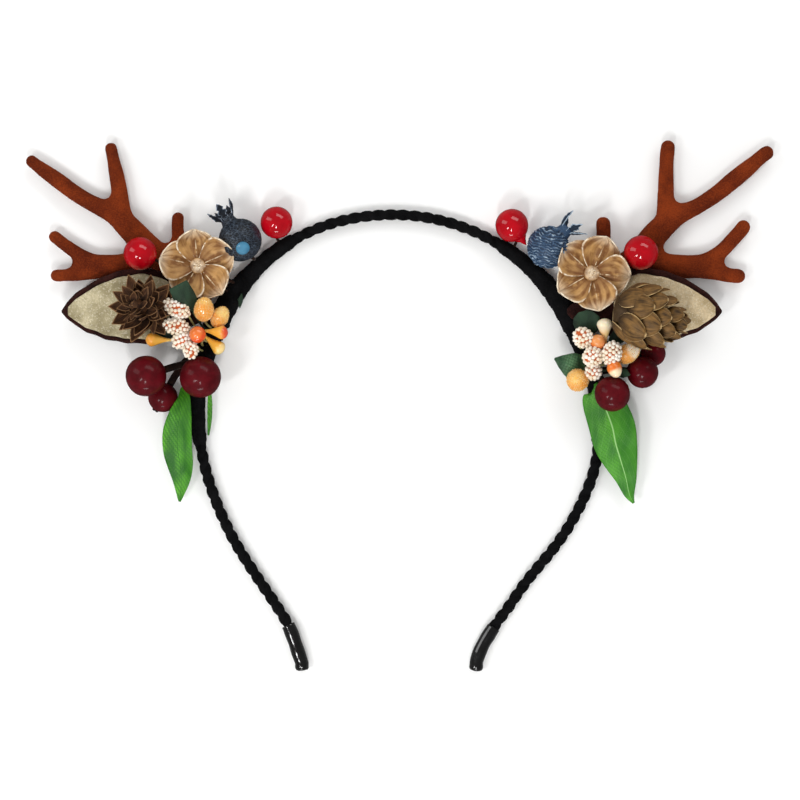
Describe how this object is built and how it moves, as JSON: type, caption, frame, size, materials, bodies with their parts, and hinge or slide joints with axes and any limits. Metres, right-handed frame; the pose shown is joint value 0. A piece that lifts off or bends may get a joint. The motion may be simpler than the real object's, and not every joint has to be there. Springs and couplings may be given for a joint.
{
  "type": "reindeer antler headband",
  "caption": "Arched velvet hair band with flocked antlers, felt ears and trimmings of dried cones, pods, berries, buds and leaves.",
  "frame": {"origin": "on the surface that the headband lies on, below the middle of its bounding box", "axes": "+X to the right of the front view, antler tip to antler tip, +Y towards the crown of the arch, +Z out of the front, up from the surface"},
  "size_m": [0.2314, 0.1651, 0.0303],
  "materials": {
    "velvet": "black velvet tape, short pile",
    "cap": "glossy black tube",
    "flock": "rust brown flock",
    "felt": "dark brown felt",
    "glitter_cloth": "pale gold cloth with glitter",
    "dark_cone": "dry dark brown scales",
    "light_cone": "dry mid brown scales with light rims",
    "dried_pod": "dry tan pod with cream rims",
    "navy_fruit": "dark navy, frosted with silver",
    "blue_fruit": "steel blue with silvery wrinkles",
    "red_gloss": "bright red lacquer, high gloss",
    "burgundy": "burgundy lacquer, satin",
    "seed_bead": "cream seed beads",
    "sugared_bud": "orange with clear sugar grains",
    "orange_bud": "red orange lacquer",
    "yellow_bud": "yellow lacquer",
    "cream_bud": "cream lacquer with an orange end",
    "woven_leaf": "dark green woven cloth",
    "satin_leaf": "bright green satin with veins"
  },
  "bodies": {
    "root": {"band": "velvet", "left_wrap": "velvet", "right_wrap": "velvet", "left_end_cap": "cap", "right_end_cap": "cap", "left_antler": "flock", "right_antler": "flock", "left_ear_back": "felt", "right_ear_back": "felt", "left_ear_front": "glitter_cloth", "right_ear_front": "glitter_cloth", "left_cone": "dark_cone", "right_cone": "light_cone", "left_flower": "dried_pod", "right_flower": "dried_pod", "left_pomegranate": "navy_fruit", "right_pomegranate": "blue_fruit", "left_top_berry": "red_gloss", "left_antler_berry": "red_gloss", "left_burgundy_berry_1": "burgundy", "left_burgundy_berry_2": "burgundy", "left_burgundy_berry_3": "burgundy", "left_stamen_1": "seed_bead", "left_stamen_2": "seed_bead", "left_stamen_3": "seed_bead", "left_stamen_4": "seed_bead", "left_long_leaf": "satin_leaf", "right_top_berry": "red_gloss", "right_antler_berry": "red_gloss", "right_burgundy_berry_1": "burgundy", "right_burgundy_berry_2": "burgundy", "right_burgundy_berry_3": "burgundy", "right_stamen_1": "seed_bead", "right_stamen_2": "seed_bead", "right_stamen_3": "seed_bead", "right_stamen_4": "seed_bead", "right_long_leaf": "satin_leaf", "left_under_leaf": "satin_leaf", "left_bud_1": "sugared_bud", "left_bud_2": "sugared_bud", "right_bud_3": "sugared_bud", "right_bud_5": "sugared_bud", "left_bud_3": "orange_bud", "left_bud_4": "orange_bud", "right_bud_2": "orange_bud", "right_bud_4": "orange_bud", "left_bud_5": "yellow_bud", "left_bud_6": "yellow_bud", "right_bud_1": "cream_bud", "left_leaf_1": "woven_leaf", "left_leaf_2": "woven_leaf", "left_leaf_3": "woven_leaf", "right_leaf_1": "woven_leaf", "right_leaf_2": "woven_leaf", "right_leaf_3": "woven_leaf", "right_leaf_4": "woven_leaf"}
  },
  "joints": []
}
